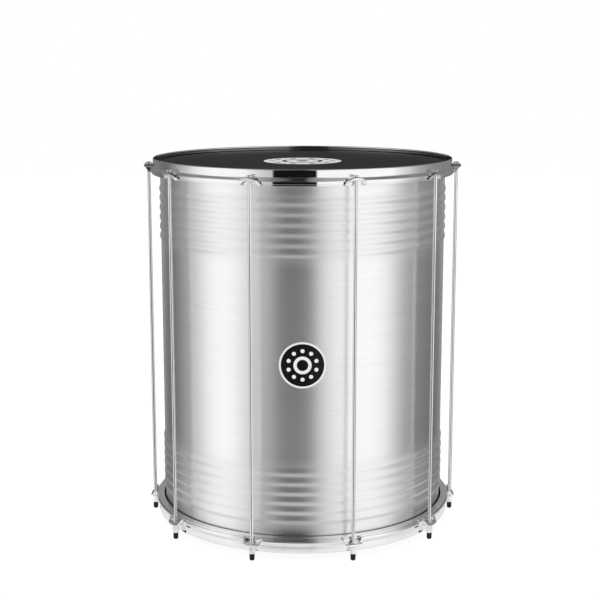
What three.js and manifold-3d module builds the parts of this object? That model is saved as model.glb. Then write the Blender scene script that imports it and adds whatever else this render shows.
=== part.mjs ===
// A surdo, the deep bass drum of samba, in millimetres with +Z up and the floor at z = 0.
// A beaded aluminium shell stands between two skins. Each skin is gripped by a flesh hoop, which a
// counter hoop presses down, and ten rods with claws at both ends pull the two counter hoops together.
import * as THREE from 'three';
import { mergeVertices } from 'three/addons/utils/BufferGeometryUtils.js';
import Module from 'manifold-3d';

const wasm = await Module();
wasm.setup();

// Driving dimensions of the shell
const shellRadius = 254;
const shellLength = 627;
const shellWall = 1.5;
const beadCount = 6;
const beadPitch = 16.8;
const beadHeight = 2;
const beadSetback = 36.3;

// Skins and the rings that grip them
const filmThickness = 1;
const filmEdgeRound = 2.4;
const fleshGap = 8.5;
const fleshWidth = 6;
const fleshHeight = 11;
const fleshDrop = 8;
const fleshChamfer = 3;
const flangeReach = 5.5;
const slotDepth = 4;
const lipLength = 3.6;

// Counter hoops
const hoopWall = 2;
const shoulderStep = 4.5;
const shoulderDrop = 5.5;
const skirtHeight = 5.3;
const bandHeight = 13.45;
const rimRadius = 2;

// Rods, claws, nuts and caps
const rodCount = 10;
const rodDiameter = 6;
const rodGap = 1.6;
const rodHeadDiameter = 10;
const rodHeadEdge = 0.9;
const rodHeadHeight = 2.3;
const clawWidth = 37;
const clawHeight = 15;
const clawArm = 4.2;
const clawCrown = 6.8;
const clawRise = 1.9;
const clawBandGap = 1.1;
const clawReach = 7.7;
const legReach = 4.4;
const legSlant = 5;
const lipRound = 3.2;
const nutAcrossFlats = 9.5;
const nutHeight = 12.05;
const capDiameter = 8.8;
const capHeight = 11.3;
const capFloor = 3;
const capRestDiameter = 5.6;
const capRound = 2.8;
const capKneeShare = 0.35;

// Badge on the front of the shell
const badgeDiameter = 78;
const badgeThickness = 0.8;

// Play between pieces that touch, room round a turning nut's rod, and how far a cutting tool overruns
const clearance = 0.3;
const turningClearance = 0.25;
const overrun = 5;

// How finely round forms are divided: ringSides is four times the rod count, so rods meet ring corners
const ringSides = 4 * rodCount;
const outerBeadPoints = 6;
const innerBeadPoints = 2;
const rimSides = 8;
const rimCorners = 6;
const rodSides = 8;
const nutSides = 6;
const boreSides = 12;
const archDivisions = 4;
const lipDivisions = 1;
const badgeSides = 32;

// Radii, worked outwards from the shell
const rodRadius = rodDiameter / 2;
const fleshInner = shellRadius + fleshGap;
const fleshOuter = fleshInner + fleshWidth;
const skirtInner = fleshOuter + clearance;
const skirtOuter = skirtInner + hoopWall;
const bandOuter = skirtOuter - shoulderStep;
const bandInner = bandOuter - hoopWall;
const rodCircle = skirtOuter + rodGap + rodRadius;

// Heights above the drum's middle plane, worked upwards from the shell's bearing edge
const shellTop = shellLength / 2;
const filmBottom = shellTop + clearance;
const filmTop = filmBottom + filmThickness;
const fleshTop = filmTop - fleshDrop;
const fleshBottom = fleshTop - fleshHeight;
const slotMiddle = fleshTop - fleshHeight / 2;
const shoulderSlope = shoulderDrop / shoulderStep;
const slantShare = Math.hypot(shoulderStep, shoulderDrop) / shoulderStep;
const chamferStart = fleshOuter - fleshChamfer;
const shoulderRise = (chamferStart - bandOuter) * shoulderSlope + (clearance + hoopWall) * slantShare;
const shoulderTop = fleshTop + shoulderRise;
const shoulderFoot = shoulderTop - shoulderDrop;
const skirtBottom = shoulderFoot - skirtHeight;
const rimTop = shoulderTop + bandHeight;
const clawTop = shoulderTop + clawRise;

// The lower end mirrors the upper one, then a nut and a cap stand under each lower claw
const nutTop = clawTop + clearance;
const nutEnd = nutTop + nutHeight;
const capTop = nutEnd + clearance;
const middleHeight = capTop + capHeight;

// Finishes
function finish(color, roughness, metalness) {
  return () => new THREE.MeshStandardMaterial({ color, roughness, metalness });
}

const brushedAluminium = finish(0xc9cac8, 0.34, 1);
const chrome = finish(0xdedfe0, 0.08, 1);
const millAluminium = finish(0xbcbdbb, 0.4, 1);
const blackSkin = finish(0x26262a, 0.62, 0);
const blackRubber = finish(0x0e0e0f, 0.7, 0);
const blackEnamel = finish(0x0a0a0b, 0.3, 0);

// Solids for cutting and joining
function toSolid(geometry) {
  const bare = geometry.clone();
  bare.deleteAttribute('normal');
  bare.deleteAttribute('uv');
  const merged = mergeVertices(bare);
  return new wasm.Manifold(new wasm.Mesh({
    numProp: 3,
    vertProperties: new Float32Array(merged.attributes.position.array),
    triVerts: new Uint32Array(merged.index.array),
  }));
}

function toGeometry(solid) {
  const mesh = solid.getMesh();
  const geometry = new THREE.BufferGeometry();
  geometry.setAttribute('position', new THREE.BufferAttribute(mesh.vertProperties, 3));
  geometry.setIndex(new THREE.BufferAttribute(mesh.triVerts, 1));
  geometry.computeVertexNormals();
  return geometry;
}

// Turns an outline of [radius, height] points about +Z: outward along the bottom, up the outside
function turned(outline, sides) {
  const points = outline.map(([radius, height]) => new THREE.Vector2(radius, height));
  const geometry = new THREE.LatheGeometry(points, sides);
  geometry.rotateX(Math.PI / 2);
  return geometry;
}

// Closes a ring's outline on its own first point
const closed = (outline) => [...outline, outline[0]];

function named(name, geometry, material) {
  const mesh = new THREE.Mesh(geometry, material());
  mesh.name = name;
  return mesh;
}

// One end's beads as [radius, height] points going up, over a wall of the given radius. Each bead is a
// bulge that runs softly into the wall, and its height at a share of the pitch follows a squared sine.
function beads(wallRadius, pointsPerBead) {
  const start = shellTop - beadSetback - beadCount * beadPitch;
  const points = [];
  for (let step = 0; step <= beadCount * pointsPerBead; step += 1) {
    const share = (step % pointsPerBead) / pointsPerBead;
    const bulge = beadHeight * Math.sin(Math.PI * share) ** 2;
    points.push([wallRadius + bulge, start + step * beadPitch / pointsPerBead]);
  }
  return points;
}

const flipped = (points) => points.map(([radius, height]) => [radius, -height]).reverse();

function shellGeometry() {
  const innerRadius = shellRadius - shellWall;
  const outer = beads(shellRadius, outerBeadPoints);
  const inner = beads(innerRadius, innerBeadPoints);
  return turned(closed([
    [innerRadius, -shellTop],
    [shellRadius, -shellTop],
    ...flipped(outer),
    ...outer,
    [shellRadius, shellTop],
    [innerRadius, shellTop],
    ...[...flipped(inner), ...inner].reverse(),
  ]), ringSides);
}

// The skin: flat over the shell, bent down round its edge, then a collar out to the lip in the flesh hoop
function headGeometry() {
  const edgeRadius = shellRadius + clearance;
  const outerEdge = edgeRadius + filmThickness;
  const lipBottom = slotMiddle - filmThickness / 2;
  const lipTop = slotMiddle + filmThickness / 2;
  const lipEnd = fleshInner + lipLength;
  const collarFoot = fleshInner - clearance;
  return turned([
    [0, filmBottom],
    [edgeRadius, filmBottom],
    [edgeRadius, filmBottom - filmEdgeRound],
    [collarFoot - filmThickness, lipBottom],
    [lipEnd, lipBottom],
    [lipEnd, lipTop],
    [collarFoot, lipTop],
    [outerEdge, filmTop - filmEdgeRound],
    [edgeRadius, filmTop],
    [0, filmTop],
  ], ringSides);
}

// The flesh hoop: a slot in its inner wall grips the lip, a flange under the lip runs in towards the
// shell, and a chamfer takes the counter hoop's shoulder
function fleshHoopGeometry() {
  const slotHalf = filmThickness / 2 + clearance;
  return turned(closed([
    [fleshInner - flangeReach, fleshBottom],
    [fleshOuter, fleshBottom],
    [fleshOuter, fleshTop - fleshChamfer * shoulderSlope],
    [chamferStart, fleshTop],
    [fleshInner, fleshTop],
    [fleshInner, slotMiddle + slotHalf],
    [fleshInner + slotDepth, slotMiddle + slotHalf],
    [fleshInner + slotDepth, slotMiddle - slotHalf],
    [fleshInner - flangeReach, slotMiddle - slotHalf],
  ]), ringSides);
}

// The rim is a round roll on the band's inner side, from the band's outer face over the top
function rimRoll() {
  const points = [];
  for (let corner = 0; corner <= rimCorners; corner += 1) {
    const angle = 2 * Math.PI * corner / rimSides;
    points.push([bandInner + rimRadius * Math.cos(angle), rimTop - rimRadius + rimRadius * Math.sin(angle)]);
  }
  return points;
}

function counterHoopGeometry() {
  const innerShoulderTop = shoulderTop + hoopWall * (shoulderSlope - slantShare);
  const innerShoulderFoot = innerShoulderTop - (skirtInner - bandInner) * shoulderSlope;
  return turned(closed([
    [skirtInner, skirtBottom],
    [skirtOuter, skirtBottom],
    [skirtOuter, shoulderFoot],
    [bandOuter, shoulderTop],
    ...rimRoll(),
    [bandInner, innerShoulderTop],
    [skirtInner, innerShoulderFoot],
  ]), ringSides);
}

// The space that the counter hoop and all inside it take up, with play, as seen from a rod
function hoopKeepOut() {
  const riseOfPlay = clearance * slantShare;
  const low = skirtBottom - overrun;
  const high = rimTop + overrun;
  const geometry = turned(closed([
    [shellRadius, low],
    [skirtOuter + clearance, low],
    [skirtOuter + clearance, shoulderFoot + riseOfPlay - clearance * shoulderSlope],
    [bandOuter + clearance, shoulderTop + riseOfPlay - clearance * shoulderSlope],
    [bandOuter + clearance, high],
    [shellRadius, high],
  ]), ringSides);
  geometry.translate(0, -rodCircle, 0);
  return toSolid(geometry);
}

// A claw about its rod, with +Y outwards: an arch seen from the front, cut to a round-nosed crown and
// legs that slant back to the hoop as seen from the side, with the rod's hole and a bed for the shoulder
function clawGeometry() {
  const foot = clawTop - clawHeight;
  const crownFoot = clawTop - clawCrown;
  const lipStart = clawReach - lipRound;
  const innerEdge = bandOuter + clawBandGap - rodCircle;
  const depth = clawReach - innerEdge;

  const archShape = new THREE.Shape();
  archShape.absellipse(0, foot, clawWidth / 2, clawHeight, 0, Math.PI, false, 0);
  archShape.absellipse(0, foot, clawWidth / 2 - clawArm, clawHeight - clawCrown, Math.PI, 0, true, 0);
  const arch = new THREE.ExtrudeGeometry(archShape, {
    depth, curveSegments: archDivisions, bevelEnabled: false,
  });
  arch.rotateX(Math.PI / 2);
  arch.translate(0, clawReach, 0);

  const sideShape = new THREE.Shape();
  sideShape.moveTo(innerEdge, foot - overrun);
  sideShape.lineTo(legReach - legSlant, foot - overrun);
  sideShape.lineTo(legReach - legSlant, foot);
  sideShape.lineTo(legReach, crownFoot);
  sideShape.absarc(lipStart, crownFoot + lipRound, lipRound, -Math.PI / 2, 0, false);
  sideShape.absarc(lipStart, clawTop - lipRound, lipRound, 0, Math.PI / 2, false);
  sideShape.lineTo(innerEdge, clawTop);
  sideShape.closePath();
  const side = new THREE.ExtrudeGeometry(sideShape, {
    depth: clawWidth + 2 * overrun, curveSegments: lipDivisions, bevelEnabled: false,
  });
  side.rotateX(Math.PI / 2);
  side.rotateZ(Math.PI / 2);
  side.translate(-clawWidth / 2 - overrun, 0, 0);

  const holeRadius = rodRadius + clearance;
  const hole = new THREE.CylinderGeometry(holeRadius, holeRadius, clawHeight + 2 * overrun, rodSides);
  hole.rotateX(Math.PI / 2);
  hole.translate(0, 0, clawTop - clawHeight / 2);

  return toGeometry(toSolid(arch).intersect(toSolid(side)).subtract(toSolid(hole)).subtract(hoopKeepOut()));
}

// A rod from its domed head, on the upper claw, down to the floor of its rubber cap
function rodGeometry() {
  const seat = clawTop + clearance;
  const headRadius = rodHeadDiameter / 2;
  const end = capFloor + clearance - middleHeight;
  return turned([
    [0, end],
    [rodRadius, end],
    [rodRadius, seat],
    [headRadius, seat],
    [headRadius, seat + rodHeadEdge],
    [rodRadius, seat + rodHeadHeight - rodHeadEdge / 2],
    [0, seat + rodHeadHeight],
  ], rodSides);
}

function nutGeometry() {
  const corner = nutAcrossFlats / 2 / Math.cos(Math.PI / nutSides);
  const bore = (rodRadius + turningClearance) / Math.cos(Math.PI / boreSides);
  const ringPoints = (radius, sides) => Array.from({ length: sides }, (unused, index) => {
    const angle = 2 * Math.PI * index / sides;
    return new THREE.Vector2(radius * Math.cos(angle), radius * Math.sin(angle));
  });
  const shape = new THREE.Shape(ringPoints(corner, nutSides));
  shape.holes.push(new THREE.Path(ringPoints(bore, boreSides)));
  const geometry = new THREE.ExtrudeGeometry(shape, { depth: nutHeight, bevelEnabled: false });
  geometry.translate(0, 0, -nutEnd);
  return geometry;
}

// A rubber cap with its mouth at the top: a flat rest, a rounded foot and a blind hole for the rod
function capGeometry() {
  const radius = capDiameter / 2;
  const holeRadius = rodRadius + clearance;
  const restRadius = capRestDiameter / 2;
  return turned([
    [0, 0],
    [restRadius, 0],
    [radius - (radius - restRadius) * capKneeShare, capRound * capKneeShare],
    [radius, capRound],
    [radius, capHeight],
    [holeRadius, capHeight],
    [holeRadius, capFloor],
    [0, capFloor],
  ], rodSides);
}

// The badge: a disc cut from a thin sleeve round the shell, so that it follows the shell's curve
function badgeGeometry() {
  const inner = shellRadius + clearance;
  const outer = inner + badgeThickness;
  const half = badgeDiameter / 2 + overrun;
  const sleeve = turned(closed([[inner, -half], [outer, -half], [outer, half], [inner, half]]), ringSides);
  const punch = new THREE.CylinderGeometry(badgeDiameter / 2, badgeDiameter / 2, shellRadius, badgeSides);
  punch.translate(0, -shellRadius, 0);
  return toGeometry(toSolid(sleeve).intersect(toSolid(punch)));
}

// One skin with its flesh hoop and counter hoop
function drumEnd(prefix) {
  const end = new THREE.Group();
  end.add(named(`${prefix}_head`, headGeometry(), blackSkin));
  end.add(named(`${prefix}_flesh_hoop`, fleshHoopGeometry(), millAluminium));
  end.add(named(`${prefix}_hoop`, counterHoopGeometry(), chrome));
  return end;
}

// One rod with its two claws, its nut and its cap, standing out along +Y of its own group
function rodStation(number) {
  const station = new THREE.Group();
  const label = String(number).padStart(2, '0');
  const lowerClaw = named(`lower_claw_${label}`, clawGeometry(), chrome);
  lowerClaw.rotation.y = Math.PI;
  const cap = named(`foot_cap_${label}`, capGeometry(), blackRubber);
  cap.position.z = -middleHeight;
  const pieces = [
    named(`tension_rod_${label}`, rodGeometry(), chrome),
    named(`upper_claw_${label}`, clawGeometry(), chrome),
    lowerClaw,
    named(`tuning_nut_${label}`, nutGeometry(), chrome),
    cap,
  ];
  for (const piece of pieces) {
    piece.position.y = rodCircle;
    station.add(piece);
  }
  return station;
}

const surdo = new THREE.Group();
surdo.position.z = middleHeight;
surdo.add(named('shell', shellGeometry(), brushedAluminium));
surdo.add(named('badge', badgeGeometry(), blackEnamel));
surdo.add(drumEnd('batter'));
const lowerEnd = drumEnd('resonant');
lowerEnd.rotation.x = Math.PI;
surdo.add(lowerEnd);
for (let index = 0; index < rodCount; index += 1) {
  const station = rodStation(index + 1);
  station.rotation.z = Math.PI + 2 * Math.PI * (index + 0.5) / rodCount;
  surdo.add(station);
}

export default surdo;
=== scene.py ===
import math
import bpy
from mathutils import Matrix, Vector


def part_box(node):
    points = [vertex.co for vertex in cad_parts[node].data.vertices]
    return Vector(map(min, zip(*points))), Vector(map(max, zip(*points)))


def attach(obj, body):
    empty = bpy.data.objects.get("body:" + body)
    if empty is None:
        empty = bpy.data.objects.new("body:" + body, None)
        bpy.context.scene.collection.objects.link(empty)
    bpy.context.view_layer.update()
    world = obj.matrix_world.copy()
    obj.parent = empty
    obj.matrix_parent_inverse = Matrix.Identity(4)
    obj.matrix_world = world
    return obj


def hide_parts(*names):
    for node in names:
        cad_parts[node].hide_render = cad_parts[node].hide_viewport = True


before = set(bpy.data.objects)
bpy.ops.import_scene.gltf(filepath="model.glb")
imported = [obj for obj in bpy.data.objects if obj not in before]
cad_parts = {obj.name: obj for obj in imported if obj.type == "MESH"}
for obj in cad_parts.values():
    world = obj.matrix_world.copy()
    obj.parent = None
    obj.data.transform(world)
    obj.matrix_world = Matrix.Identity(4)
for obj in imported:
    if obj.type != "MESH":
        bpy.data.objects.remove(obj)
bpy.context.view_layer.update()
print("frame loaded:", len(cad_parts), "nodes")

# places that all pieces share
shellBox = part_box("shell")
middleHeight = (shellBox[0].z + shellBox[1].z) / 2
stationCount = 10
rodCircle = sum(corner.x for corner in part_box("tuning_nut_03")) / 2  # station 3 stands on +X
rodPlace = (0, -rodCircle)  # pieces of a station are modelled at the front, then turned into place
frontFacing = -0.9  # a face looks out at the front where its normal's y is below this
weldDistance = 0.00001


# modelling helpers, all on the edit mode operators

def deselectAll():
    bpy.ops.object.select_all(action="DESELECT")


def pickOnly(piece):
    deselectAll()
    piece.select_set(True)
    bpy.context.view_layer.objects.active = piece


def startEdit(piece):
    pickOnly(piece)
    bpy.ops.object.mode_set(mode="EDIT")
    bpy.ops.mesh.select_mode(type="VERT")  # the mode stays as the last piece left it


def endEdit():
    bpy.ops.object.mode_set(mode="OBJECT")


def applyPlace(piece):
    pickOnly(piece)
    bpy.ops.object.transform_apply(location=True, rotation=True, scale=True)


def addPrimitive(operator, name, **settings):
    deselectAll()
    operator(**settings)
    piece = bpy.context.object
    piece.name = name
    piece.data.name = name
    applyPlace(piece)
    return piece


def selectFaces(piece, wanted):
    bpy.ops.mesh.select_mode(type="FACE")
    bpy.ops.mesh.select_all(action="DESELECT")
    endEdit()
    for face in piece.data.polygons:
        face.select = wanted(face.center, face.normal)
    bpy.ops.object.mode_set(mode="EDIT")


def cleanMesh():
    bpy.ops.mesh.select_all(action="SELECT")
    bpy.ops.mesh.remove_doubles(threshold=weldDistance)
    bpy.ops.mesh.delete_loose()
    bpy.ops.mesh.select_all(action="SELECT")
    bpy.ops.mesh.normals_make_consistent(inside=False)


def applyModifier(piece, kind, **settings):
    modifier = piece.modifiers.new(kind.lower(), kind)
    for name, value in settings.items():
        setattr(modifier, name, value)
    pickOnly(piece)
    bpy.ops.object.modifier_apply(modifier=modifier.name)


def cutWith(piece, tool, operation="DIFFERENCE"):
    applyModifier(piece, "BOOLEAN", operation=operation, object=tool, solver="EXACT")
    bpy.data.objects.remove(tool)


def smoothShade(piece, angle=math.radians(38)):
    pickOnly(piece)
    bpy.ops.object.shade_smooth_by_angle(angle=angle)
    applyModifier(piece, "WEIGHTED_NORMAL", keep_sharp=True)  # flat walls mirror flat up to their edges


def softened(outline, steps=5):
    # outline points are (radius, height, rounding); a rounded corner becomes a short curve
    points = []
    for index, (radius, height, rounding) in enumerate(outline):
        corner = Vector((radius, height))
        before = Vector(outline[index - 1][:2])
        after = Vector(outline[(index + 1) % len(outline)][:2])
        start = corner + (before - corner).normalized() * rounding
        end = corner + (after - corner).normalized() * rounding
        count = steps if rounding else 0
        for step in range(count + 1):
            share = step / max(count, 1)
            points.append(start.lerp(corner, share).lerp(corner.lerp(end, share), share))
    return [(point.x, point.y) for point in points]


def spun(name, outline, centre=(0, 0), steps=160, closed=True):
    # one vertex is drawn out along (radius, height) points, then spun round an upright axis
    if closed:
        outline = [*outline, outline[0]]
    radius, height = outline[0]
    place = (centre[0] + radius, centre[1], height)
    piece = addPrimitive(bpy.ops.mesh.primitive_plane_add, name, size=weldDistance, location=place)
    startEdit(piece)
    bpy.ops.mesh.merge(type="CENTER")
    for start, end in zip(outline, outline[1:]):
        step = (end[0] - start[0], 0, end[1] - start[1])
        bpy.ops.mesh.extrude_region_move(TRANSFORM_OT_translate={"value": step})
    bpy.ops.mesh.select_all(action="SELECT")
    bpy.ops.mesh.spin(steps=steps, angle=2 * math.pi, center=(*centre, 0), axis=(0, 0, 1))
    cleanMesh()
    endEdit()
    return piece


def turnedOver(outline):
    # the lower end of the drum is the upper end turned over about its middle plane
    return [(point[0], 2 * middleHeight - point[1], *point[2:]) for point in reversed(outline)]


def copied(source, name, turn, overturned=False):
    # a copy with its own mesh, turned round the drum's axis and perhaps upside down
    pickOnly(source)
    bpy.ops.object.duplicate(linked=False)
    piece = bpy.context.object
    piece.name = name
    piece.data.name = name
    if overturned:
        piece.rotation_euler = (0, math.pi, 0)
        piece.location = (0, 0, 2 * middleHeight)
        applyPlace(piece)
    piece.rotation_euler = (0, 0, turn)
    applyPlace(piece)
    return piece


def dress(piece, material, node, body="drum"):
    piece.data.materials.clear()
    piece.data.materials.append(material)
    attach(piece, body)
    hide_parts(node)


# shader helpers

class Wire:
    # an output socket; sums on it add Math nodes to the same tree
    def __init__(self, tree, socket=None):
        self.tree = tree
        self.socket = socket

    def node(self, kind, settings=None, values=None, output=0):
        made = self.tree.nodes.new("ShaderNode" + kind)
        for name, setting in (settings or {}).items():
            if name == "stops":
                fillRamp(made.color_ramp, setting)
            else:
                setattr(made, name, setting)
        for name, value in (values or {}).items():
            if isinstance(value, Wire):
                self.tree.links.new(value.socket, made.inputs[name])
            else:
                made.inputs[name].default_value = value
        return Wire(self.tree, made.outputs[output])

    def other(self, output):
        return Wire(self.tree, self.socket.node.outputs[output])

    def maths(self, operation, first, second=0):
        return self.node("Math", {"operation": operation}, {0: first, 1: second})

    def __add__(self, value):
        return self.maths("ADD", self, value)

    def __radd__(self, value):
        return self.maths("ADD", value, self)

    def __sub__(self, value):
        return self.maths("SUBTRACT", self, value)

    def __rsub__(self, value):
        return self.maths("SUBTRACT", value, self)

    def __mul__(self, value):
        return self.maths("MULTIPLY", self, value)

    def __rmul__(self, value):
        return self.maths("MULTIPLY", value, self)

    def __pow__(self, value):
        return self.maths("POWER", self, value)

    def __lt__(self, value):
        return self.maths("LESS_THAN", self, value)

    def __gt__(self, value):
        return self.maths("GREATER_THAN", self, value)

    def between(self, low, high):
        # 0 at low and 1 at high, eased
        settings = {"interpolation_type": "SMOOTHSTEP"}
        return self.node("MapRange", settings, {"Value": self, "From Min": low, "From Max": high})

    def tint(self, dark, light):
        # a colour between two, by this value
        return self.node("Mix", {"data_type": "RGBA"}, {0: self, 6: dark, 7: light}, output=2)


def fillRamp(ramp, stops):
    while len(ramp.elements) < len(stops):
        ramp.elements.new(1)
    for element, (position, level) in zip(ramp.elements, stops):
        element.position = position
        element.color = grey(level)


def grey(level, blue=0):
    return (level, level, level + blue, 1)


def startMaterial(name, settings):
    material = bpy.data.materials.new(name)
    material.use_nodes = True
    shader = material.node_tree.nodes["Principled BSDF"]
    for socket, value in settings.items():
        shader.inputs[socket].default_value = value
    return material, Wire(material.node_tree).node("TexCoord", output="Object")


def finishMaterial(material, **sockets):
    shader = material.node_tree.nodes["Principled BSDF"]
    for name, wire in sockets.items():
        material.node_tree.links.new(wire.socket, shader.inputs[name.replace("_", " ")])
    return material


def grain(place, across, upwards=None, detail=3, roughness=0.55):
    # noise about 0.5 on average, with so many grains to a metre across and, where it is given, upwards
    scale = (across, across, upwards or across)
    stretched = place.node("Mapping", {}, {"Vector": place, "Scale": scale})
    values = {"Vector": stretched, "Scale": 1, "Detail": detail, "Roughness": roughness}
    return place.node("TexNoise", {}, values)


def bump(height, relief):
    # relief is a strength and a depth
    strength, depth = relief
    return height.node("Bump", {}, {"Height": height, "Strength": strength, "Distance": depth})


# camera and studio

camera = dict(
    place=(0, -2.3798, 0.8465),
    tilt=math.radians(79.297),
    lens=79.63,
    sensor=36,
    shiftX=-0.0042,
)


def addCamera():
    data = bpy.data.cameras.new("camera")
    data.lens = camera["lens"]
    data.sensor_width = camera["sensor"]
    data.shift_x = camera["shiftX"]
    eye = bpy.data.objects.new("camera", data)
    eye.location = camera["place"]
    eye.rotation_euler = (camera["tilt"], 0, 0)
    bpy.context.scene.collection.objects.link(eye)
    bpy.context.scene.camera = eye


# what metal sees round it at three heights, as (degrees from the front towards +X, level): a white
# softbox on either side of a dark gap in front and grey behind, all dimmer towards the ceiling, and
# never quite dark towards the ground
studio = dict(
    lowRing=[
        (-180, 0.2), (-160, 0.22), (-148, 0.12), (-134, 0.09), (-122, 0.1), (-112, 0.18), (-102, 0.38),
        (-92, 0.64), (-84, 0.86), (-76, 1.0), (-60, 1.0), (-50, 0.66), (-42, 0.45), (-28, 0.23),
        (-16, 0.05), (3, 0.05), (8, 0.22), (14, 0.44), (26, 0.74), (42, 1.0), (66, 1.0), (76, 0.72),
        (84, 0.38), (93, 0.18), (104, 0.06), (118, 0.05), (128, 0.08), (145, 0.12), (165, 0.2), (180, 0.2),
    ],
    eyeRing=[
        (-180, 0.03), (-170, 0.03), (-162, 0.2), (-145, 0.2), (-130, 0.15), (-123, 0.15), (-112, 0.3),
        (-104, 0.44), (-97, 0.58), (-90, 0.74), (-83, 0.9), (-76, 1.0), (-46, 1.0), (-34, 0.72),
        (-21.6, 0.55), (-21.2, 0.006), (10.2, 0.006), (10.6, 1.0), (70, 1.0), (84, 0.68), (97, 0.42),
        (110, 0.3), (123, 0.24), (152, 0.22), (162, 0.2), (170, 0.03), (180, 0.03),
    ],
    highRing=[
        (-180, 0.3), (-168, 0.3), (-156, 0.24), (-134, 0.18), (-118, 0.22), (-102, 0.4), (-92, 0.6),
        (-84, 0.88), (-76, 1.0), (-58, 1.0), (-42, 0.5), (-28, 0.3), (-16, 0.06), (3, 0.06),
        (10, 0.4), (26, 0.85), (42, 1.0), (66, 1.0), (80, 0.62), (93, 0.38), (110, 0.26), (134, 0.2),
        (156, 0.24), (168, 0.3), (180, 0.3),
    ],
    eyeFrom=(-0.16, -0.11),
    highFrom=(0.18, 0.34),
    ceilingFrom=(0.6, 0.85),
    ceilingDimming=0.62,
    groundFrom=(-0.2, -0.55),
    groundLevel=0.35,
    plainLevel=0.72,
    floorSize=14,
    floorGlow=0.95,
    floorShade=0.1,
    # painted glow that metal sees on the floor, near the drum and beyond; the darker level near the drum
    # is painted shade
    mirroredFloor=(0.76, 0.9),
    paleFrom=(0.27, 0.31),
    goneFrom=(0.29, 0.36),
    lampSize=1.6,
    lampPower=14,
    lampPlace=(-0.7, -0.9, 2.4),
)


def seenByMetal(wires):
    path = wires.node("LightPath")
    return path.maths("MAXIMUM", path.other("Is Glossy Ray"), path.other("Is Transmission Ray"))


def addWorld():
    world = bpy.data.worlds.new("studio")
    bpy.context.scene.world = world
    world.use_nodes = True
    world.cycles.sampling_method = "NONE"  # light rays are told apart only when they hit it
    world.node_tree.nodes.clear()
    wires = Wire(world.node_tree)
    direction = wires.node("TexCoord", output="Generated")
    across = direction.node("SeparateXYZ", {}, {0: direction})
    up = across.other("Z")
    turn = across.maths("ARCTAN2", across, 0 - across.other("Y")) * (0.5 / math.pi) + 0.5
    rings = {}
    for name in ("lowRing", "eyeRing", "highRing"):
        stops = [(angle / 360 + 0.5, level) for angle, level in studio[name]]
        rings[name] = turn.node("ValToRGB", {"stops": stops}, {0: turn})
    pattern = up.between(*studio["eyeFrom"]).tint(rings["lowRing"], rings["eyeRing"])
    pattern = up.between(*studio["highFrom"]).tint(pattern, rings["highRing"])
    pattern = pattern * (1 - up.between(*studio["ceilingFrom"]) * studio["ceilingDimming"])
    pattern = pattern.maths("MAXIMUM", pattern, up.between(*studio["groundFrom"]) * studio["groundLevel"])
    seenByCamera = wires.node("LightPath", output="Is Camera Ray")
    plain = seenByCamera.tint(grey(studio["plainLevel"]), grey(1))
    colour = seenByMetal(wires).tint(plain, pattern)
    light = colour.node("Background", {}, {"Color": colour, "Strength": 1})
    output = world.node_tree.nodes.new("ShaderNodeOutputWorld")
    world.node_tree.links.new(light.socket, output.inputs["Surface"])


def addFloor():
    size = studio["floorSize"]
    floor = addPrimitive(bpy.ops.mesh.primitive_plane_add, "floor", size=size, location=(0, 0, 0))
    material = bpy.data.materials.new("paleFloor")
    material.use_nodes = True
    material.node_tree.nodes.clear()
    wires = Wire(material.node_tree)
    place = wires.node("TexCoord", output="Object")
    distance = place.node("VectorMath", {"operation": "LENGTH"}, {0: place}, output="Value")
    glow = wires.node("Emission", {}, {"Color": grey(1), "Strength": studio["floorGlow"]})
    shade = wires.node("BsdfDiffuse", {}, {"Color": grey(studio["floorShade"])})
    shown = glow.node("AddShader", {}, {0: glow, 1: shade})
    # metal sees the floor as a painted glow, darker close to the drum as painted shade, and sees through
    # it further out
    near, beyond = studio["mirroredFloor"]
    level = distance.between(*studio["paleFrom"]).tint(grey(near), grey(beyond))
    pale = wires.node("Emission", {}, {"Color": level, "Strength": 1})
    gone = wires.node("BsdfTransparent")
    far = distance.between(*studio["goneFrom"])
    mirrored = far.node("MixShader", {}, {0: far, 1: pale, 2: gone})
    surface = far.node("MixShader", {}, {0: seenByMetal(wires), 1: shown, 2: mirrored})
    output = material.node_tree.nodes.new("ShaderNodeOutputMaterial")
    material.node_tree.links.new(surface.socket, output.inputs["Surface"])
    floor.data.materials.append(material)


def addLamp():
    data = bpy.data.lights.new("softLamp", "AREA")
    data.shape = "DISK"
    data.size = studio["lampSize"]
    data.energy = studio["lampPower"]
    lamp = bpy.data.objects.new("softLamp", data)
    lamp.location = studio["lampPlace"]
    aim = Vector((0, 0, middleHeight)) - lamp.location
    lamp.rotation_euler = aim.to_track_quat("-Z", "Y").to_euler()
    lamp.visible_glossy = False
    bpy.context.scene.collection.objects.link(lamp)


addCamera()
addWorld()
addFloor()
addLamp()
bpy.context.scene.view_settings.view_transform = "Standard"
print("camera and studio set")


# shell: a rolled tube with beads near each end, brushed round its girth

shell = dict(
    radius=0.254,
    wall=0.0015,
    beadCount=6,
    beadPitch=0.0168,
    beadHeight=0.002,
    beadSetback=0.0363,
    beadSteps=12,
    beadEase=2,
    spinSteps=180,
    darkTint=(0.91, 0.912, 0.906, 1),
    lightTint=(0.982, 0.984, 0.979, 1),
    roughness=0.27,
    beadRoughness=0.07,
    anisotropy=0.72,
    brushTurn=0.25,
    brushGrain=(9, 1500),
    streakGrain=(3, 260),
    cloudGrain=(5, 9),
    relief=(0.07, 0.0004),
)


def beadZone():
    # the heights between which the upper beads lie
    top = shellBox[1].z - shell["beadSetback"]
    return top - shell["beadCount"] * shell["beadPitch"], top


def beadPoints():
    # the upper beads, going up
    start = beadZone()[0]
    points = []
    for step in range(shell["beadCount"] * shell["beadSteps"] + 1):
        share = step / shell["beadSteps"]
        bulge = shell["beadHeight"] * abs(math.sin(math.pi * share)) ** shell["beadEase"]
        points.append((shell["radius"] + bulge, start + share * shell["beadPitch"]))
    return points


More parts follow.
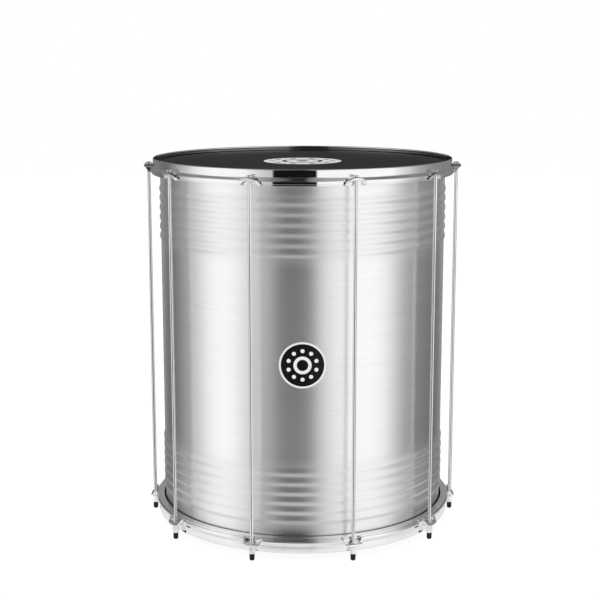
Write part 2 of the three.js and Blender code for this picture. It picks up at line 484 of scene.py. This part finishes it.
def brushedAluminium():
    material, place = startMaterial("brushedAluminium", {
        "Metallic": 1, "Anisotropic": shell["anisotropy"], "Anisotropic Rotation": shell["brushTurn"],
    })
    brush = grain(place, *shell["brushGrain"], detail=2)
    streak = grain(place, *shell["streakGrain"], detail=4, roughness=0.65)
    cloud = grain(place, *shell["cloudGrain"])
    mix = brush * 0.4 + streak * 0.4 + cloud * 0.2
    colour = mix.between(0.32, 0.68).tint(shell["darkTint"], shell["lightTint"])
    offset = place.node("SeparateXYZ", {}, {0: place}, output="Z") - middleHeight
    away = offset.maths("ABSOLUTE", offset)
    pitch = shell["beadPitch"]
    firstBead, lastBead = (height - middleHeight for height in beadZone())
    rolled = away.between(firstBead - pitch, firstBead) - away.between(lastBead, lastBead + pitch / 2)
    worn = shell["roughness"] + brush * 0.08 + streak * 0.02 + cloud * 0.04
    roughness = worn + rolled * shell["beadRoughness"]  # rolling dulls the beads
    normal = bump(brush * 0.6 + streak * 0.4, shell["relief"])
    return finishMaterial(material, Base_Color=colour, Roughness=roughness, Normal=normal)


def addShell():
    beads = beadPoints()
    lower = turnedOver(beads)
    low, high = shellBox[0].z, shellBox[1].z
    outline = [(shell["radius"], low), *lower, *beads, (shell["radius"], high)]
    piece = spun("shell_tube", outline, steps=shell["spinSteps"], closed=False)
    applyModifier(piece, "SOLIDIFY", thickness=shell["wall"], offset=-1)
    smoothShade(piece)
    dress(piece, brushedAluminium(), "shell")


addShell()
print("shell made")


# skins, each with a collar that runs out to a lip in its flesh hoop

skin = dict(
    film=0.001,
    edge=0.2543,
    edgeDrop=0.0024,
    edgeRound=0.0009,
    shoulderRound=0.0012,
    bendRound=0.0006,
    collar=0.2622,
    lipTop=0.013,
    markRadius=0.0695,
    markRing=(0.030, 0.037),
    markHub=0.011,
    markColour=(0.84, 0.84, 0.83, 1),
    pipCircle=0.0535,
    pipRadius=0.0056,
    darkFilm=(0.006, 0.0055, 0.0055, 1),
    lightFilm=(0.04, 0.036, 0.036, 1),
    roughness=0.32,
    gloss=0.06,
    speckleGrain=900,
    fleckGrain=420,
    mottleGrain=22,
    relief=(0.3, 0.0004),
)


def pips(along, across, circle, radius):
    # ten round dots on a circle, from two coordinates measured from its centre
    turn = along.maths("ARCTAN2", along, across) * (stationCount / (2 * math.pi))
    offset = (turn.maths("FRACT", turn) - 0.5) * (2 * math.pi * circle / stationCount)
    spread = (along * along + across * across) ** 0.5 - circle
    return offset * offset + spread * spread < radius * radius


def blackSkin():
    material, place = startMaterial("blackSkin", {"Metallic": 0, "Specular IOR Level": skin["gloss"]})
    x = place.node("SeparateXYZ", {}, {0: place})
    y = x.other("Y")
    distance = (x * x + y * y) ** 0.5
    low, high = skin["markRing"]
    ring = (distance > low) * (distance < high)
    dark = ring + (distance < skin["markHub"]) + pips(x, y, skin["pipCircle"], skin["pipRadius"])
    printed = (distance < skin["markRadius"]) * (1 - dark)
    speckle = grain(place, skin["speckleGrain"], roughness=0.7)
    fleck = grain(place, skin["fleckGrain"], detail=2)
    mottle = grain(place, skin["mottleGrain"], detail=4)
    film = (speckle * 0.3 + fleck * 0.5 + mottle * 0.2).between(0.36, 0.64)
    colour = film.tint(skin["darkFilm"], skin["lightFilm"])
    colour = printed.tint(colour, skin["markColour"])
    roughness = skin["roughness"] + speckle * 0.14
    normal = bump(speckle, skin["relief"])
    return finishMaterial(material, Base_Color=colour, Roughness=roughness, Normal=normal)


def addSkins():
    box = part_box("batter_head")
    top, lipEnd, bottom = box[1].z, box[1].x, box[0].z
    film, edge, collar = skin["film"], skin["edge"], skin["collar"]
    lipTop = top - skin["lipTop"]
    drop, bend = skin["edgeDrop"], skin["bendRound"]
    outline = softened([
        (0, top - film, 0),
        (edge, top - film, bend),
        (edge, top - film - drop, bend),
        (collar - film, bottom, bend),
        (lipEnd, bottom, 0),
        (lipEnd, lipTop, 0),
        (collar, lipTop, bend),
        (edge + film, top - drop, skin["shoulderRound"]),
        (edge, top, skin["edgeRound"]),
        (0, top, 0),
    ])
    material = blackSkin()
    for name, points in {"batter": outline, "resonant": turnedOver(outline)}.items():
        piece = spun(name + "_skin", points)
        smoothShade(piece)
        dress(piece, material, name + "_head")


addSkins()
print("skins made")


# flesh hoops: a slot grips the skin's lip above a flange that runs in towards the shell, and a chamfer
# takes the counter hoop's shoulder

fleshHoop = dict(
    slotDepth=0.004,
    slotHeight=0.0016,
    flange=0.0055,
    chamfer=(0.003, 0.003667),
    edgeRound=0.0005,
    edgeSteps=3,
    inner=0.2625,
    tints=(0.86, 0.95),
    roughness=0.04,
    turningGrain=(14, 1300),
    dullGrain=30,
    relief=(0.03, 0.0002),
)


def turnedAluminium():
    material, place = startMaterial("turnedAluminium", {"Metallic": 1})
    turning = grain(place, *fleshHoop["turningGrain"], detail=2)
    dull = grain(place, fleshHoop["dullGrain"], detail=4)
    dark, light = fleshHoop["tints"]
    colour = (turning * 0.5 + dull * 0.5).between(0.3, 0.7).tint(grey(dark), grey(light))
    roughness = fleshHoop["roughness"] + dull * 0.04
    normal = bump(turning, fleshHoop["relief"])
    return finishMaterial(material, Base_Color=colour, Roughness=roughness, Normal=normal)


def addFleshHoops():
    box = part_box("batter_flesh_hoop")
    outer, bottom, top = box[1].x, box[0].z, box[1].z
    inner, edge = fleshHoop["inner"], fleshHoop["edgeRound"]
    across, down = fleshHoop["chamfer"]
    slot = (bottom + top) / 2
    half = fleshHoop["slotHeight"] / 2
    back = inner + fleshHoop["slotDepth"]
    flange = inner - fleshHoop["flange"]
    outline = softened([
        (flange, bottom, edge),
        (outer, bottom, edge),
        (outer, top - down, edge),
        (outer - across, top, edge),
        (inner, top, edge),
        (inner, slot + half, 0),
        (back, slot + half, 0),
        (back, slot - half, 0),
        (flange, slot - half, edge),
    ], steps=fleshHoop["edgeSteps"])
    material = turnedAluminium()
    for name, points in {"batter": outline, "resonant": turnedOver(outline)}.items():
        piece = spun(name + "_flesh_ring", points)
        smoothShade(piece)
        dress(piece, material, name + "_flesh_hoop")


addFleshHoops()
print("flesh hoops made")


# chrome plating: bright with a faint haze and fine specks, on hoops, claws, rods and nuts

chrome = dict(
    darker=0.05,
    lighter=0.02,
    blue=0.008,
    hazeGrain=26,
    speckGrain=700,
    rippleGrain=60,
    relief=(0.06, 0.0003),
)


def chromePlate(name, values, ripple=0.0):
    # the tint and the roughness come from the values of the piece that wears it
    material, place = startMaterial(name, {"Metallic": 1})
    haze = grain(place, chrome["hazeGrain"], detail=4, roughness=0.6)
    speck = grain(place, chrome["speckGrain"], detail=2)
    dark = grey(values["tint"] - chrome["darker"])
    light = grey(values["tint"] + chrome["lighter"], chrome["blue"])
    colour = haze.between(0.3, 0.75).tint(dark, light)
    roughness = values["roughness"] + haze.between(0.45, 0.8) * 0.05 + speck * 0.02
    height = speck * 0.3 + grain(place, chrome["rippleGrain"], detail=1) * ripple
    normal = bump(height, chrome["relief"])
    return finishMaterial(material, Base_Color=colour, Roughness=roughness, Normal=normal)


# counter hoops: a skirt, a sloped shoulder, an upright band and a rolled rim

counterHoop = dict(
    wall=0.002,
    shoulderStep=0.0045,
    shoulderDrop=0.0055,
    skirtHeight=0.0053,
    bendRound=0.0013,
    edgeRound=0.0007,
    bendSteps=6,
    rimRadius=0.002,
    rimTurn=1.5 * math.pi,
    rimSteps=16,
    spinSteps=200,
    tint=0.95,
    roughness=0.03,
)


def addCounterHoops():
    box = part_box("batter_hoop")
    skirtOuter, low, rimTop = box[1].x, box[0].z, box[1].z
    wall, step, drop = counterHoop["wall"], counterHoop["shoulderStep"], counterHoop["shoulderDrop"]
    slope = drop / step
    slant = math.hypot(step, drop) / step
    skirtInner = skirtOuter - wall
    bandOuter = skirtOuter - step
    bandInner = bandOuter - wall
    foot = low + counterHoop["skirtHeight"]
    shoulder = foot + drop
    innerShoulder = shoulder + wall * (slope - slant)
    innerFoot = innerShoulder - (skirtInner - bandInner) * slope
    rim = counterHoop["rimRadius"]
    roll = []
    for turn in range(counterHoop["rimSteps"] + 1):
        angle = counterHoop["rimTurn"] * turn / counterHoop["rimSteps"]
        roll.append((bandInner + rim * math.cos(angle), rimTop - rim + rim * math.sin(angle), 0))
    bend, edge = counterHoop["bendRound"], counterHoop["edgeRound"]
    outline = softened([
        (skirtInner, low, edge),
        (skirtOuter, low, edge),
        (skirtOuter, foot, bend),
        (bandOuter, shoulder, bend),
        *roll,
        (bandInner, innerShoulder, bend),
        (skirtInner, innerFoot, bend),
    ], steps=counterHoop["bendSteps"])
    material = chromePlate("hoopChrome", counterHoop)
    for name, points in {"batter": outline, "resonant": turnedOver(outline)}.items():
        piece = spun(name + "_counter_hoop", points, steps=counterHoop["spinSteps"])
        smoothShade(piece)
        dress(piece, material, name + "_hoop")


addCounterHoops()
print("counter hoops made")


# claws: an arched saddle with a round-nosed crown, which hooks over the hoop's shoulder

claw = dict(
    arm=0.0042,
    crown=0.0068,
    legReach=0.0044,
    legSlant=0.005,
    lipRound=0.0032,
    lipSteps=7,
    cornerRound=0.005,
    castGrid=0.0005,
    castSoftening=20,
    castSoftness=0.5,
    holeRadius=0.0033,
    holeSteps=32,
    play=0.0003,
    overrun=0.01,
    archSteps=64,
    tint=0.95,
    roughness=0.03,
    ripple=0.2,
)


def hoopSpace():
    # all that the upper hoop fills, with a little play, as a cutting ring
    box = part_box("batter_hoop")
    play, outer, over = claw["play"], box[1].x, claw["overrun"]
    step, drop = counterHoop["shoulderStep"], counterHoop["shoulderDrop"]
    foot = box[0].z + counterHoop["skirtHeight"]
    lift = play * (math.hypot(step, drop) - drop) / step
    inside = shell["radius"]
    return spun("hoopSpace", [
        (inside, box[0].z - over),
        (outer + play, box[0].z - over),
        (outer + play, foot + lift),
        (outer - step + play, foot + drop + lift),
        (outer - step + play, box[1].z + over),
        (inside, box[1].z + over),
    ])


def roundLip(centre, halfWidth, halfHeight):
    # the picked face is drawn out along a quarter circle, a step at a time
    steps, reach = claw["lipSteps"], claw["lipRound"]
    width, height, depth = 1, 1, 0
    for step in range(1, steps + 1):
        angle = math.pi / 2 * step / steps
        easing = 1 - math.cos(angle)
        nextWidth = 1 - claw["cornerRound"] * easing / halfWidth
        nextHeight = 1 - reach * easing / halfHeight
        nextDepth = reach * math.sin(angle)
        bpy.ops.mesh.extrude_region_move(TRANSFORM_OT_translate={"value": (0, depth - nextDepth, 0)})
        scale = (nextWidth / width, 1, nextHeight / height)
        bpy.ops.transform.resize(value=scale, center_override=centre)
        width, height, depth = nextWidth, nextHeight, nextDepth


def startArch(name, back, foot, halfWidth, height, fill):
    # an upright ellipse that stands on the claw's back plane, left in edit mode
    middle = (0, back, foot)
    piece = addPrimitive(
        bpy.ops.mesh.primitive_circle_add, name, vertices=claw["archSteps"], radius=1, fill_type=fill,
        location=middle, rotation=(math.pi / 2, 0, 0),
    )
    startEdit(piece)
    bpy.ops.mesh.select_all(action="SELECT")
    bpy.ops.transform.resize(value=(halfWidth, 1, height), center_override=middle)
    return piece


def drawOut(back, front, cutHeight):
    # all below the cut is dropped, then the rest is drawn out from the back plane
    bpy.ops.mesh.select_all(action="SELECT")
    bpy.ops.mesh.bisect(plane_co=(0, back, cutHeight), plane_no=(0, 0, 1), clear_inner=True)
    bpy.ops.mesh.select_all(action="SELECT")
    bpy.ops.mesh.extrude_region_move(TRANSFORM_OT_translate={"value": (0, front - back, 0)})
    cleanMesh()


def slantBlock(legFront, crownFoot, foot):
    # a block with one face on the slanted fronts of the legs, which run back to the hoop as they go down
    size = claw["overrun"] * 4
    outwards = Vector((0, foot - crownFoot, -claw["legSlant"])).normalized()
    centre = Vector((0, legFront, crownFoot)) + outwards * size / 2
    turn = math.atan2(claw["legSlant"], crownFoot - foot)
    return addPrimitive(
        bpy.ops.mesh.primitive_cube_add, "slantBlock", size=size, location=centre, rotation=(turn, 0, 0),
    )


def modelClaw():
    # modelled at the front, where outwards is -Y; station 3's node gives its size along X
    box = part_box("upper_claw_03")
    foot, top = box[0].z, box[1].z
    back, front = -box[0].x, -box[1].x
    halfWidth, height = box[1].y, top - foot
    legFront = -rodCircle - claw["legReach"]
    crown = claw["crown"]
    crownFoot = top - crown
    piece = startArch("claw", back, foot, halfWidth, height, "NOTHING")
    bpy.ops.mesh.extrude_region_move()
    inner = (1 - claw["arm"] / halfWidth, 1, 1 - crown / height)
    bpy.ops.transform.resize(value=inner, center_override=(0, back, foot))
    drawOut(back, legFront, foot)
    endEdit()
    cutWith(piece, slantBlock(legFront, crownFoot, foot))
    nose = startArch("nose", back, foot, halfWidth, height, "NGON")
    drawOut(back, front + claw["lipRound"], crownFoot)
    selectFaces(nose, lambda centre, normal: normal.y < frontFacing)
    noseWidth = halfWidth * math.sqrt(1 - (1 - crown / height) ** 2)
    roundLip((0, front, top - crown / 2), noseWidth, crown / 2)
    cleanMesh()
    endEdit()
    cutWith(piece, nose, operation="UNION")
    applyModifier(piece, "REMESH", mode="VOXEL", voxel_size=claw["castGrid"])
    applyModifier(piece, "SMOOTH", factor=claw["castSoftness"], iterations=claw["castSoftening"])
    cutWith(piece, hoopSpace())
    hole = addPrimitive(
        bpy.ops.mesh.primitive_cylinder_add, "hole", vertices=claw["holeSteps"], radius=claw["holeRadius"],
        depth=height * 2, location=(*rodPlace, top - height / 2),
    )
    cutWith(piece, hole)
    smoothShade(piece)
    return piece


# rods: plain chromed bars with a domed head that seats on the upper claw

rod = dict(
    radius=0.003,
    headEdge=0.0009,
    headRound=0.0003,
    roundSteps=3,
    seatGap=0.0003,
    domeSteps=7,
    footChamfer=0.0006,
    spinSteps=28,
    tint=0.93,
    roughness=0.035,
)


def modelRod():
    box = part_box("tension_rod_03")
    low, top = box[0].z, box[1].z
    headRadius = box[1].x - rodCircle
    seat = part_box("upper_claw_03")[1].z + rod["seatGap"]
    radius, chamfer, rounding = rod["radius"], rod["footChamfer"], rod["headRound"]
    domeFoot = seat + rod["headEdge"]
    dome = []
    for step in range(1, rod["domeSteps"] + 1):
        angle = math.pi / 2 * step / rod["domeSteps"]
        dome.append((headRadius * math.cos(angle), domeFoot + (top - domeFoot) * math.sin(angle), 0))
    outline = softened([
        (0, low, 0),
        (radius - chamfer, low, 0),
        (radius, low + chamfer, 0),
        (radius, seat, 0),
        (headRadius, seat, rounding),
        (headRadius, domeFoot, 0),
        *dome,
    ], steps=rod["roundSteps"])
    piece = spun("rod", outline, centre=rodPlace, steps=rod["spinSteps"])
    smoothShade(piece)
    return piece


# tuning nuts: tall hexagons with turned ends, which turn on the rods

nut = dict(
    sides=6,
    chamfer=0.0011,
    chamferInset=0.0004,
    boreRadius=0.00325,
    boreSteps=36,
    spinSteps=96,
    sharpAngle=math.radians(20),
    tint=0.93,
    roughness=0.05,
)


def modelNut():
    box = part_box("tuning_nut_03")
    low, high = box[0].z, box[1].z
    flat, corner = box[1].x - rodCircle, box[1].y
    piece = addPrimitive(
        bpy.ops.mesh.primitive_cylinder_add, "nut", vertices=nut["sides"], radius=corner, depth=high - low,
        location=(*rodPlace, (low + high) / 2), rotation=(0, 0, math.pi / 2),
    )
    inset, chamfer = nut["chamferInset"], nut["chamfer"]
    turned = spun("turned", [
        (0, low),
        (flat - inset, low),
        (corner, low + chamfer),
        (corner, high - chamfer),
        (flat - inset, high),
        (0, high),
    ], centre=rodPlace, steps=nut["spinSteps"])
    cutWith(piece, turned, operation="INTERSECT")
    bore = addPrimitive(
        bpy.ops.mesh.primitive_cylinder_add, "bore", vertices=nut["boreSteps"], radius=nut["boreRadius"],
        depth=(high - low) * 2, location=(*rodPlace, (low + high) / 2),
    )
    cutWith(piece, bore)
    smoothShade(piece, nut["sharpAngle"])
    return piece


# foot caps: moulded rubber, a blind hole above and a rounded foot below

cap = dict(
    restRadius=0.0024,
    footHeight=0.0036,
    footSteps=8,
    mouthRound=0.0005,
    mouthSteps=4,
    holeRadius=0.0033,
    floor=0.003,
    spinSteps=40,
    dustHeight=0.004,
    tints=(0.006, 0.024),
    roughness=0.48,
    gloss=0.3,
    poreGrain=1500,
    scuffGrain=160,
    relief=(0.3, 0.0002),
)


def blackRubber():
    material, place = startMaterial("blackRubber", {"Metallic": 0, "Specular IOR Level": cap["gloss"]})
    pores = grain(place, cap["poreGrain"], roughness=0.7)
    scuff = grain(place, cap["scuffGrain"], detail=4)
    low = place.node("SeparateXYZ", {}, {0: place}, output="Z").between(cap["dustHeight"], 0)
    dust = scuff.between(0.45, 0.75) * (0.3 + low * 0.7)
    clean, dusty = cap["tints"]
    colour = dust.tint(grey(clean), grey(dusty))
    roughness = cap["roughness"] + scuff * 0.2 + low * 0.1
    normal = bump(pores, cap["relief"])
    return finishMaterial(material, Base_Color=colour, Roughness=roughness, Normal=normal)


def modelCap():
    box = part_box("foot_cap_03")
    top, radius = box[1].z, box[1].y
    rest, rise = cap["restRadius"], cap["footHeight"]
    foot = []
    for step in range(cap["footSteps"] + 1):
        angle = math.pi / 2 * step / cap["footSteps"]
        foot.append((rest + (radius - rest) * math.sin(angle), rise * (1 - math.cos(angle)), 0))
    outline = softened([
        (0, 0, 0),
        *foot,
        (radius, top, cap["mouthRound"]),
        (cap["holeRadius"], top, cap["mouthRound"]),
        (cap["holeRadius"], cap["floor"], 0),
        (0, cap["floor"], 0),
    ], steps=cap["mouthSteps"])
    piece = spun("cap", outline, centre=rodPlace, steps=cap["spinSteps"])
    smoothShade(piece)
    return piece


def addStations():
    clawChrome = chromePlate("clawChrome", claw, claw["ripple"])
    rodChrome = chromePlate("rodChrome", rod)
    nutChrome = chromePlate("nutChrome", nut)
    rubber = blackRubber()
    clawSource, rodSource, nutSource, capSource = modelClaw(), modelRod(), modelNut(), modelCap()
    for index in range(stationCount):
        turn = 2 * math.pi * (index + 0.5) / stationCount
        label = f"{index + 1:02d}"
        upper = copied(clawSource, "claw_upper_" + label, turn)
        dress(upper, clawChrome, "upper_claw_" + label)
        lower = copied(clawSource, "claw_lower_" + label, turn, overturned=True)
        dress(lower, clawChrome, "lower_claw_" + label)
        bar = copied(rodSource, "rod_" + label, turn)
        dress(bar, rodChrome, "tension_rod_" + label)
        hexagon = copied(nutSource, "nut_" + label, turn)
        dress(hexagon, nutChrome, "tuning_nut_" + label, body="nut_" + label)
        foot = copied(capSource, "cap_" + label, turn)
        dress(foot, rubber, "foot_cap_" + label)
    for source in (clawSource, rodSource, nutSource, capSource):
        bpy.data.objects.remove(source)


addStations()
print("rods, claws, nuts and caps made")


# badge: a curved black plate with a bright rim and a plain drum sign of a ring and ten dots

badge = dict(
    rimWidth=0.0032,
    rimRise=0.0003,
    rimMargin=0.0006,
    gap=0.0003,
    insets=5,
    insetStep=0.006,
    sides=96,
    edgeRound=0.0002,
    edgeSteps=2,
    edgeAngle=math.radians(50),
    signRing=(0.0095, 0.0150),
    pipCircle=0.0240,
    pipRadius=0.0034,
    enamelTints=((0.004, 0.004, 0.004, 1), (0.009, 0.0085, 0.0085, 1)),
    signTints=(0.86, 0.92),
    roughness=0.24,
    gloss=0.22,
    hazeGrain=160,
    relief=(0.05, 0.0002),
)


def blackEnamel(height, radius):
    material, place = startMaterial("blackEnamel", {"Specular IOR Level": badge["gloss"]})
    x = place.node("SeparateXYZ", {}, {0: place})
    up = x.other("Z") - height
    distance = (x * x + up * up) ** 0.5
    low, high = badge["signRing"]
    ring = (distance > low) * (distance < high)
    sign = ring + pips(up, x, badge["pipCircle"], badge["pipRadius"])
    rim = distance > radius - badge["rimWidth"]
    haze = grain(place, badge["hazeGrain"], detail=4)
    dark, light = badge["signTints"]
    colour = (sign + rim).tint(haze.tint(*badge["enamelTints"]), haze.tint(grey(dark), grey(light)))
    roughness = badge["roughness"] + haze * 0.12
    normal = bump(haze, badge["relief"])
    return finishMaterial(material, Base_Color=colour, Roughness=roughness, Normal=normal)


def addBadge():
    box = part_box("badge")
    height, radius = (box[0].z + box[1].z) / 2, (box[1].z - box[0].z) / 2
    face, back = -box[0].y, shell["radius"] + badge["gap"]
    thickness = face - back
    piece = addPrimitive(
        bpy.ops.mesh.primitive_circle_add, "badge_plate", vertices=badge["sides"], radius=radius,
        fill_type="NGON", location=(0, -back, height), rotation=(math.pi / 2, 0, 0),
    )
    startEdit(piece)
    bpy.ops.mesh.select_all(action="SELECT")
    widened = (math.hypot(back, radius) / back, 1, 1)  # bending it onto the shell narrows it again
    bpy.ops.transform.resize(value=widened, center_override=(0, -back, height))
    bpy.ops.mesh.inset(thickness=badge["rimWidth"], depth=0)
    for step in range(badge["insets"]):
        bpy.ops.mesh.inset(thickness=badge["insetStep"], depth=0)
    bpy.ops.mesh.poke()
    endEdit()
    applyModifier(
        piece, "CAST", cast_type="CYLINDER", factor=1, use_z=False, use_radius_as_size=False, size=back,
    )
    applyModifier(piece, "SOLIDIFY", thickness=thickness - badge["rimRise"], offset=1)
    startEdit(piece)
    # the rim's faces are those with their centres beyond this
    rimInner = radius - badge["rimWidth"] - badge["rimMargin"]
    selectFaces(piece, lambda centre, normal: normal.y < frontFacing
                and math.hypot(centre.x, centre.z - height) > rimInner)
    bpy.ops.mesh.extrude_region_shrink_fatten(TRANSFORM_OT_shrink_fatten={"value": badge["rimRise"]})
    endEdit()
    applyModifier(
        piece, "BEVEL", width=badge["edgeRound"], segments=badge["edgeSteps"], limit_method="ANGLE",
        angle_limit=badge["edgeAngle"],
    )
    smoothShade(piece)
    dress(piece, blackEnamel(height, radius), "badge")


addBadge()
print("badge made")
